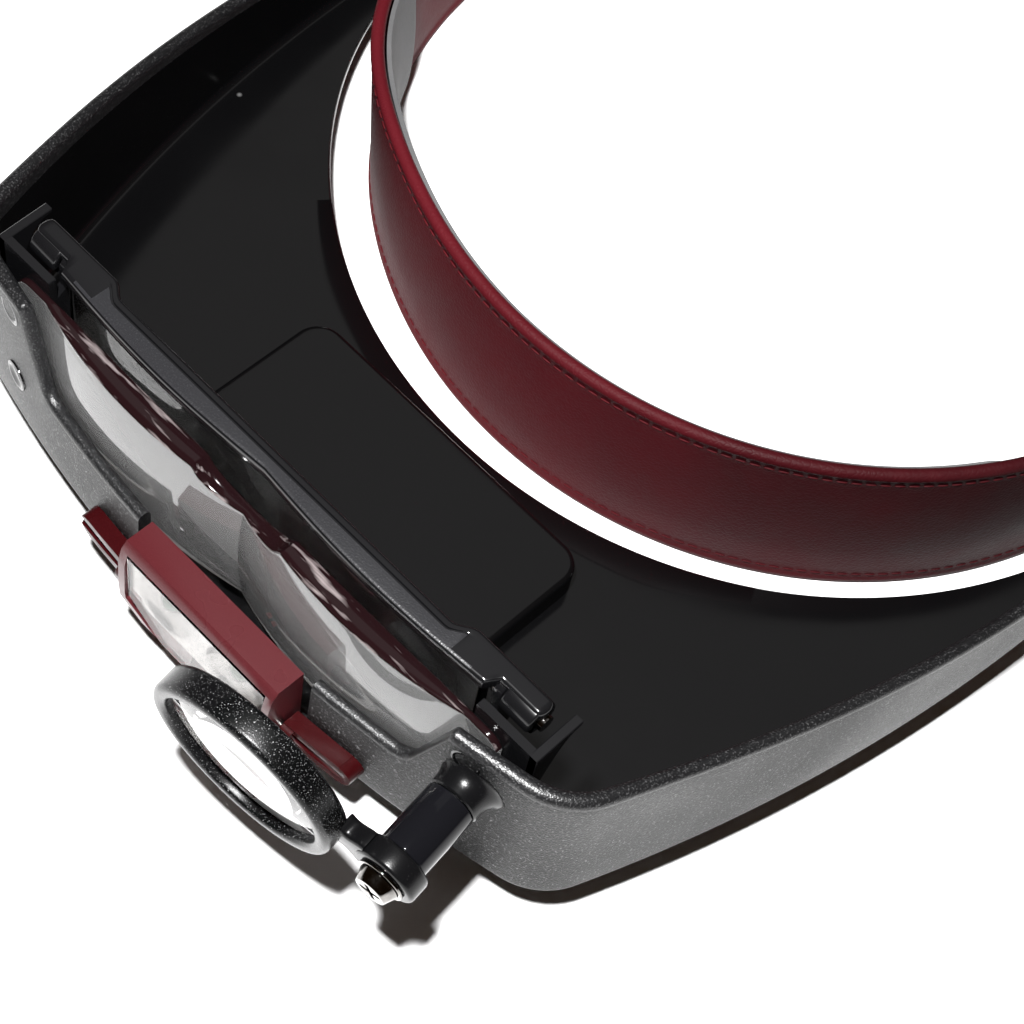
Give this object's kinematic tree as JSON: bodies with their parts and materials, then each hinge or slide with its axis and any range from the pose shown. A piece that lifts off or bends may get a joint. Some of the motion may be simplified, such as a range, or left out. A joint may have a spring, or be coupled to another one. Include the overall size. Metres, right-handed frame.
{
  "type": "lighted headband magnifier",
  "caption": "Lighted headband magnifier: visor with fixed and flip lenses, tilting lamp, swing-out loupe and adjustable headband",
  "frame": {"origin": "middle of the battery lid's outer flat face, which the object rests on when it lies crown side down", "axes": "+Y back towards the wearer's head, +X to the side with the loupe, -Z towards the crown of the worn visor"},
  "size_m": [0.192, 0.279, 0.0509],
  "materials": {
    "visor_plastic": "fine texture outside, gloss inside",
    "black_fittings": "gloss",
    "glossy_black": "high gloss",
    "loupe_black": "satin with fine sparkle",
    "clear_lens": "polished acrylic",
    "red_plastic": "satin",
    "reflector": "vacuum plated",
    "led_epoxy": "clear epoxy",
    "board": "solder mask",
    "bright_steel": "nickel plated",
    "contact_brass": "plated",
    "cell_sleeve": "printed sleeve without print",
    "wire_insulation": "soft",
    "switch_white": "satin",
    "band_leather": "fine grain leatherette",
    "strap_leather": "fine grain leatherette",
    "lining_foam": "soft lining"
  },
  "bodies": {
    "visor": {"visor_shell": "visor_plastic", "wire_cover": "visor_plastic", "battery_cells": "cell_sleeve", "battery_springs": "bright_steel", "battery_contacts": "contact_brass", "switch_body": "black_fittings", "lead_wires": "wire_insulation", "main_lens": "clear_lens", "lens_screws": "bright_steel", "lens_bracket_left": "black_fittings", "lens_bracket_right": "black_fittings", "bracket_pins": "bright_steel", "lamp_bracket_left": "red_plastic", "lamp_bracket_right": "red_plastic", "lamp_bracket_screws": "bright_steel", "lamp_pivot_pins": "bright_steel", "loupe_sleeve": "glossy_black", "loupe_washer": "bright_steel", "loupe_screw": "bright_steel"},
    "battery_cover": {"battery_lid": "visor_plastic"},
    "switch": {"switch_slider": "switch_white"},
    "lamp": {"lamp_housing": "red_plastic", "lamp_window": "clear_lens", "lamp_reflector": "reflector", "lamp_leds": "led_epoxy", "lamp_board": "board"},
    "inner_lens": {"inner_lens_frame": "black_fittings", "inner_lens_plate": "clear_lens"},
    "loupe": {"loupe_arm": "loupe_black", "loupe_lens": "clear_lens"},
    "headband": {"forehead_band": "band_leather", "band_lining": "lining_foam", "temple_pivots": "black_fittings", "rear_strap": "strap_leather", "band_rivets": "bright_steel"},
    "knob_left": {"temple_knob_left": "black_fittings"},
    "knob_right": {"temple_knob_right": "black_fittings"},
    "buckle": {"strap_buckle": "black_fittings"}
  },
  "joints": [
    {"name": "lid_slide", "type": "slide", "parent": "visor", "child": "battery_cover", "axis": [1, 0, 0], "range_m": [0, 0.06]},
    {"name": "switch_slide", "type": "slide", "parent": "visor", "child": "switch", "axis": [1, 0, 0], "range_m": [0, 0.003]},
    {"name": "lamp_tilt", "type": "hinge", "parent": "visor", "child": "lamp", "pos_m": [0.004, -0.0414, 0.01475], "axis": [-1, 0, 0], "range_deg": [-15, 8]},
    {"name": "inner_lens_flip", "type": "hinge", "parent": "visor", "child": "inner_lens", "pos_m": [0, -0.0242, 0.0465], "axis": [1, 0, 0], "range_deg": [0, 80]},
    {"name": "loupe_swing", "type": "hinge", "parent": "visor", "child": "loupe", "pos_m": [0.0525, -0.034, 0.0338], "axis": [0.0952, -0.989, -0.1132], "range_deg": [-90, 180]},
    {"name": "visor_tilt", "type": "hinge", "parent": "visor", "child": "headband", "pos_m": [0, 0.0965, 0.018], "axis": [-1, 0, 0], "range_deg": [-15, 45]},
    {"name": "knob_left_turn", "type": "hinge", "parent": "headband", "child": "knob_left", "pos_m": [-0.09, 0.0965, 0.018], "axis": [1, 0, 0], "range_deg": [-180, 180]},
    {"name": "knob_right_turn", "type": "hinge", "parent": "headband", "child": "knob_right", "pos_m": [0.09, 0.0965, 0.018], "axis": [1, 0, 0], "range_deg": [-180, 180]},
    {"name": "buckle_slide", "type": "hinge", "parent": "headband", "child": "buckle", "pos_m": [0, 0.1379, 0.0175], "axis": [0, 0, 1], "range_deg": [-40, 40]}
  ]
}
